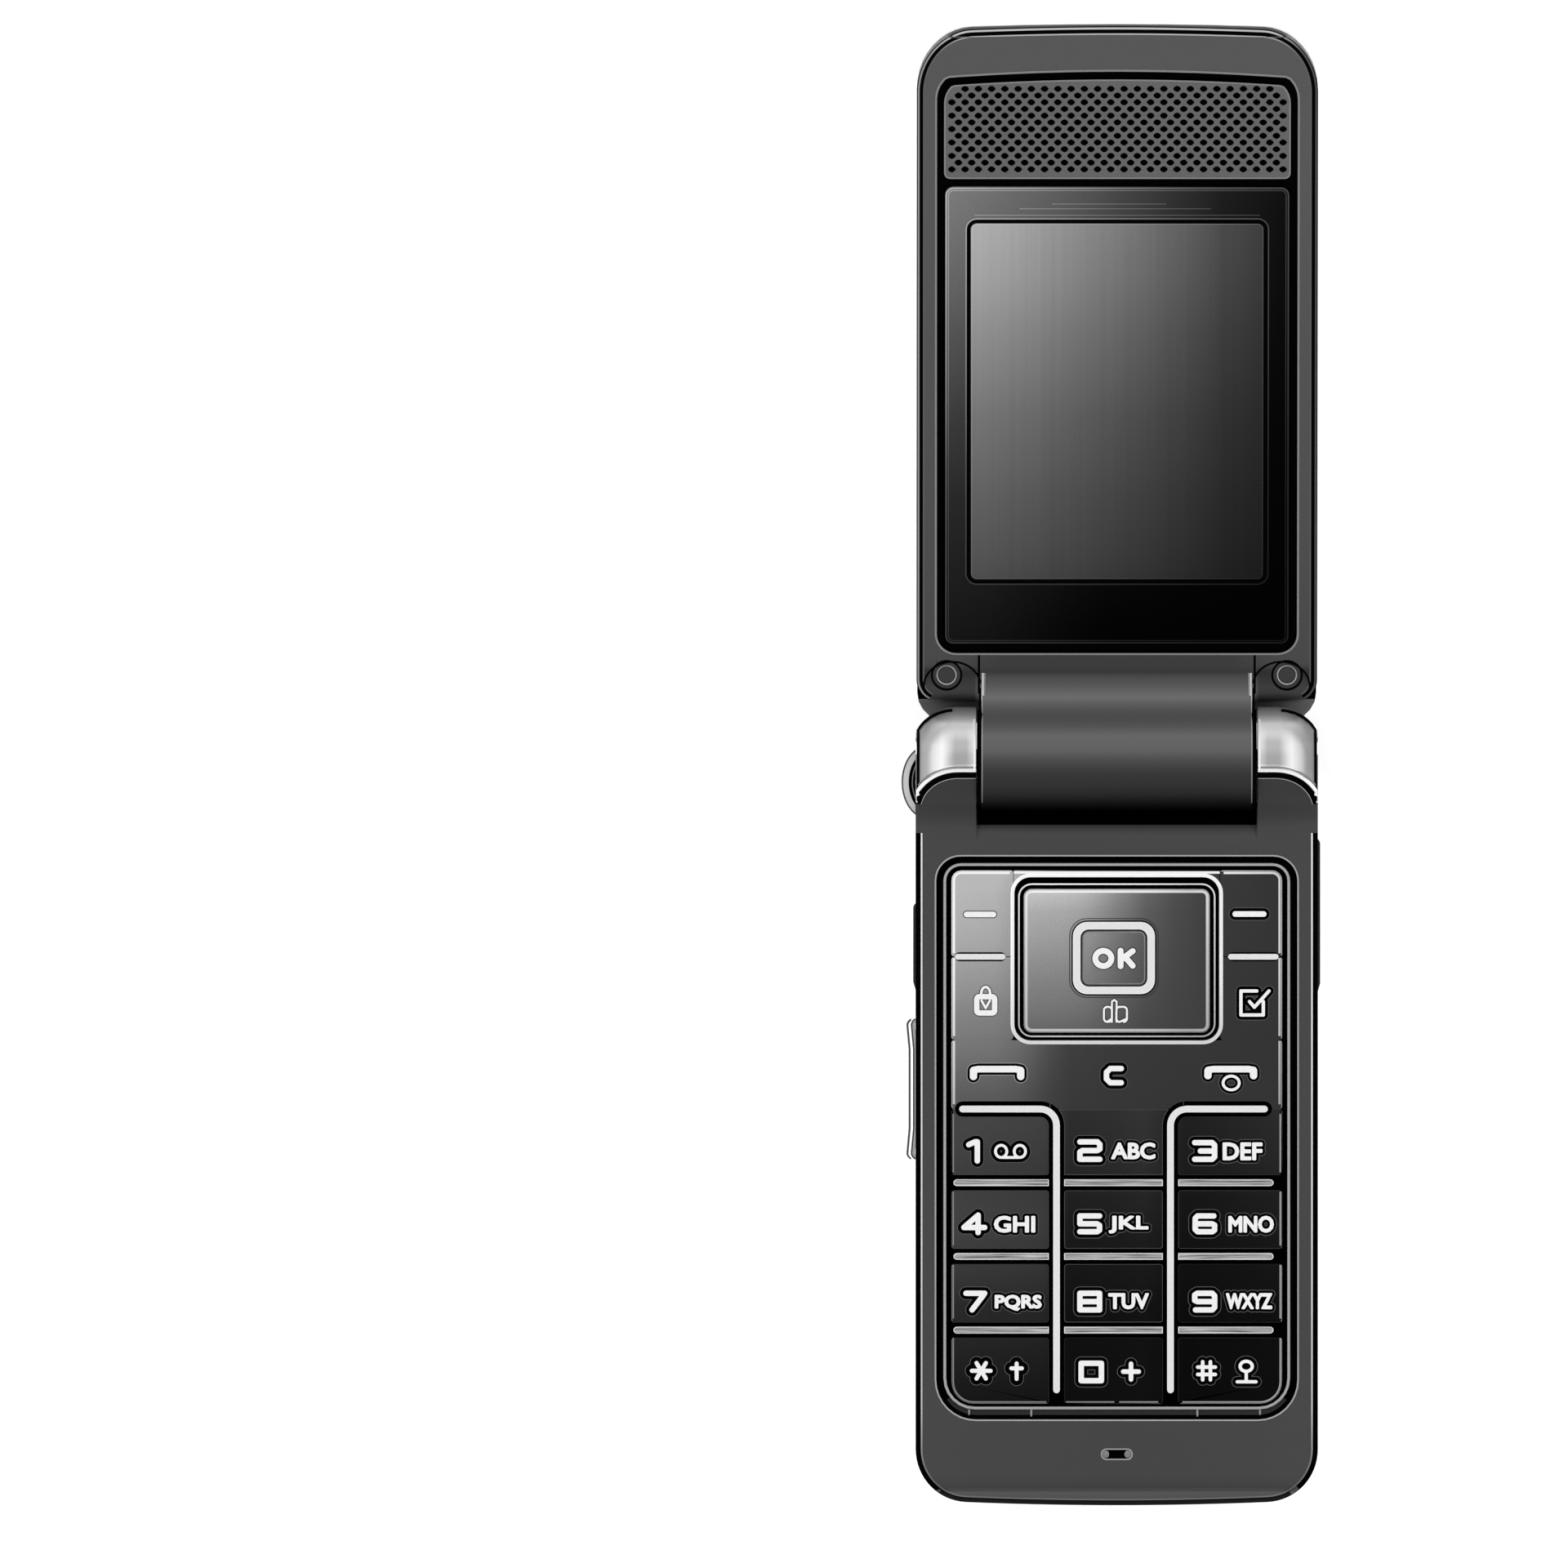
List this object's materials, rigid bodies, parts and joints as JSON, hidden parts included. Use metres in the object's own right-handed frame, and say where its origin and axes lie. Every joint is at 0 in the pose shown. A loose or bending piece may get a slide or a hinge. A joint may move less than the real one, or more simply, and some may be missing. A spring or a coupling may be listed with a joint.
{
  "type": "flip phone",
  "caption": "Clamshell mobile phone, open: silver and dark shells, keypad with chrome bars, screen lid on a friction hinge with a rear camera.",
  "frame": {"origin": "centre of the base's flat back, on the surface that the phone lies on", "axes": "+X to the phone's right, +Y along the base from the bottom edge to the hinge and the lid, +Z out of the keypad"},
  "size_m": [0.0515, 0.1817, 0.0275],
  "materials": {
    "silver_shell": "satin",
    "dark_shell": "satin dark grey",
    "chrome_trim": "polished",
    "brushed_panel": "brushed lengthwise",
    "dark_brushed": "brushed across",
    "black_window": "gloss",
    "lcd_panel": "gloss",
    "grille_metal": "perforated",
    "number_key": "satin",
    "function_key": "satin",
    "nav_metal": "brushed",
    "black_plastic": "matt",
    "flap_plastic": "satin",
    "gold_contact": "plated",
    "steel_part": "plain",
    "board_green": "solder mask",
    "battery_label": "wrapped",
    "flex_film": "film"
  },
  "bodies": {
    "base": {"base_front_case": "dark_shell", "base_rear_case": "silver_shell", "left_hinge_ear": "silver_shell", "right_hinge_ear": "silver_shell", "side_trims": "chrome_trim", "keypad_frame": "chrome_trim", "dome_sheet": "steel_part", "main_circuit_board": "board_green", "battery": "battery_label", "sim_holder": "gold_contact", "loudspeaker": "black_plastic", "microphone": "gold_contact", "io_connector": "steel_part", "card_socket": "steel_part", "lanyard_loop": "silver_shell", "base_screws": "steel_part", "hinge_pins": "steel_part"},
    "lid": {"lid_outer_cover": "silver_shell", "lid_front_panel": "brushed_panel", "lid_panel_trim": "chrome_trim", "lid_inner_cover": "dark_shell", "display_window": "black_window", "lcd_module": "lcd_panel", "earpiece_grille": "grille_metal", "earpiece_speaker": "black_plastic", "lid_screw_caps": "silver_shell", "lid_screws": "steel_part", "camera_module": "black_plastic", "camera_bezel": "chrome_trim", "camera_lens_ring": "chrome_trim", "camera_window": "black_window", "hinge_cover_plate": "dark_brushed", "hinge_cartridge": "steel_part", "display_flex": "flex_film"},
    "key_1": {"key_1": "number_key"},
    "key_2": {"key_2": "number_key"},
    "key_3": {"key_3": "number_key"},
    "key_4": {"key_4": "number_key"},
    "key_5": {"key_5": "number_key"},
    "key_6": {"key_6": "number_key"},
    "key_7": {"key_7": "number_key"},
    "key_8": {"key_8": "number_key"},
    "key_9": {"key_9": "number_key"},
    "key_star": {"key_star": "number_key"},
    "key_0": {"key_0": "number_key"},
    "key_hash": {"key_hash": "number_key"},
    "left_soft_key": {"left_soft_key": "function_key"},
    "right_soft_key": {"right_soft_key": "function_key"},
    "left_shortcut_key": {"left_shortcut_key": "function_key"},
    "right_shortcut_key": {"right_shortcut_key": "function_key"},
    "send_key": {"send_key": "function_key"},
    "clear_key": {"clear_key": "function_key"},
    "end_key": {"end_key": "function_key"},
    "nav_pivot": {"nav_pivot": "black_plastic"},
    "nav_key": {"nav_key": "nav_metal"},
    "ok_key": {"ok_key": "nav_metal"},
    "volume_key": {"volume_key": "chrome_trim"},
    "port_cover": {"port_cover": "flap_plastic"},
    "card_cover": {"card_cover": "flap_plastic"},
    "battery_cover": {"battery_cover": "silver_shell"}
  },
  "joints": [
    {"name": "lid_flip", "type": "hinge", "parent": "base", "child": "lid", "pos_m": [0, 0.04265, 0.0082], "axis": [1, 0, 0], "range_deg": [0, 166.8]},
    {"name": "key_1_press", "type": "slide", "parent": "base", "child": "key_1", "axis": [0, 0, -1], "range_m": [0, 0.00025], "stiffness_N_per_m": 400},
    {"name": "key_2_press", "type": "slide", "parent": "base", "child": "key_2", "axis": [0, 0, -1], "range_m": [0, 0.00025], "stiffness_N_per_m": 400},
    {"name": "key_3_press", "type": "slide", "parent": "base", "child": "key_3", "axis": [0, 0, -1], "range_m": [0, 0.00025], "stiffness_N_per_m": 400},
    {"name": "key_4_press", "type": "slide", "parent": "base", "child": "key_4", "axis": [0, 0, -1], "range_m": [0, 0.00025], "stiffness_N_per_m": 400},
    {"name": "key_5_press", "type": "slide", "parent": "base", "child": "key_5", "axis": [0, 0, -1], "range_m": [0, 0.00025], "stiffness_N_per_m": 400},
    {"name": "key_6_press", "type": "slide", "parent": "base", "child": "key_6", "axis": [0, 0, -1], "range_m": [0, 0.00025], "stiffness_N_per_m": 400},
    {"name": "key_7_press", "type": "slide", "parent": "base", "child": "key_7", "axis": [0, 0, -1], "range_m": [0, 0.00025], "stiffness_N_per_m": 400},
    {"name": "key_8_press", "type": "slide", "parent": "base", "child": "key_8", "axis": [0, 0, -1], "range_m": [0, 0.00025], "stiffness_N_per_m": 400},
    {"name": "key_9_press", "type": "slide", "parent": "base", "child": "key_9", "axis": [0, 0, -1], "range_m": [0, 0.00025], "stiffness_N_per_m": 400},
    {"name": "key_star_press", "type": "slide", "parent": "base", "child": "key_star", "axis": [0, 0, -1], "range_m": [0, 0.00025], "stiffness_N_per_m": 400},
    {"name": "key_0_press", "type": "slide", "parent": "base", "child": "key_0", "axis": [0, 0, -1], "range_m": [0, 0.00025], "stiffness_N_per_m": 400},
    {"name": "key_hash_press", "type": "slide", "parent": "base", "child": "key_hash", "axis": [0, 0, -1], "range_m": [0, 0.00025], "stiffness_N_per_m": 400},
    {"name": "left_soft_key_press", "type": "slide", "parent": "base", "child": "left_soft_key", "axis": [0, 0, -1], "range_m": [0, 0.00025], "stiffness_N_per_m": 400},
    {"name": "right_soft_key_press", "type": "slide", "parent": "base", "child": "right_soft_key", "axis": [0, 0, -1], "range_m": [0, 0.00025], "stiffness_N_per_m": 400},
    {"name": "left_shortcut_key_press", "type": "slide", "parent": "base", "child": "left_shortcut_key", "axis": [0, 0, -1], "range_m": [0, 0.00025], "stiffness_N_per_m": 400},
    {"name": "right_shortcut_key_press", "type": "slide", "parent": "base", "child": "right_shortcut_key", "axis": [0, 0, -1], "range_m": [0, 0.00025], "stiffness_N_per_m": 400},
    {"name": "send_key_press", "type": "slide", "parent": "base", "child": "send_key", "axis": [0, 0, -1], "range_m": [0, 0.00025], "stiffness_N_per_m": 400},
    {"name": "clear_key_press", "type": "slide", "parent": "base", "child": "clear_key", "axis": [0, 0, -1], "range_m": [0, 0.00025], "stiffness_N_per_m": 400},
    {"name": "end_key_press", "type": "slide", "parent": "base", "child": "end_key", "axis": [0, 0, -1], "range_m": [0, 0.00025], "stiffness_N_per_m": 400},
    {"name": "nav_tilt_side", "type": "hinge", "parent": "base", "child": "nav_pivot", "pos_m": [0, 0.01785, 0.0072], "axis": [0, 1, 0], "range_deg": [-1.5, 1.5], "stiffness_Nm_per_rad": 0.5},
    {"name": "nav_tilt_updown", "type": "hinge", "parent": "nav_pivot", "child": "nav_key", "pos_m": [0, 0.01785, 0.0072], "axis": [1, 0, 0], "range_deg": [-1.5, 1.5], "stiffness_Nm_per_rad": 0.5},
    {"name": "ok_press", "type": "slide", "parent": "nav_key", "child": "ok_key", "axis": [0, 0, -1], "range_m": [0, 0.0002], "stiffness_N_per_m": 400},
    {"name": "volume_rock", "type": "hinge", "parent": "base", "child": "volume_key", "pos_m": [-0.0245, 0.0021, 0.0069], "axis": [0, 0, 1], "range_deg": [-1.2, 1.2], "stiffness_Nm_per_rad": 0.1},
    {"name": "port_cover_swing", "type": "hinge", "parent": "base", "child": "port_cover", "pos_m": [0.0243, 0.0144, 0.0053], "axis": [0, 0, -1], "range_deg": [0, 85]},
    {"name": "card_cover_swing", "type": "hinge", "parent": "base", "child": "card_cover", "pos_m": [-0.0243, 0.0146, 0.0053], "axis": [0, 0, 1], "range_deg": [0, 85]},
    {"name": "battery_cover_slide", "type": "slide", "parent": "base", "child": "battery_cover", "axis": [0, -1, 0], "range_m": [0, 0.008]}
  ]
}
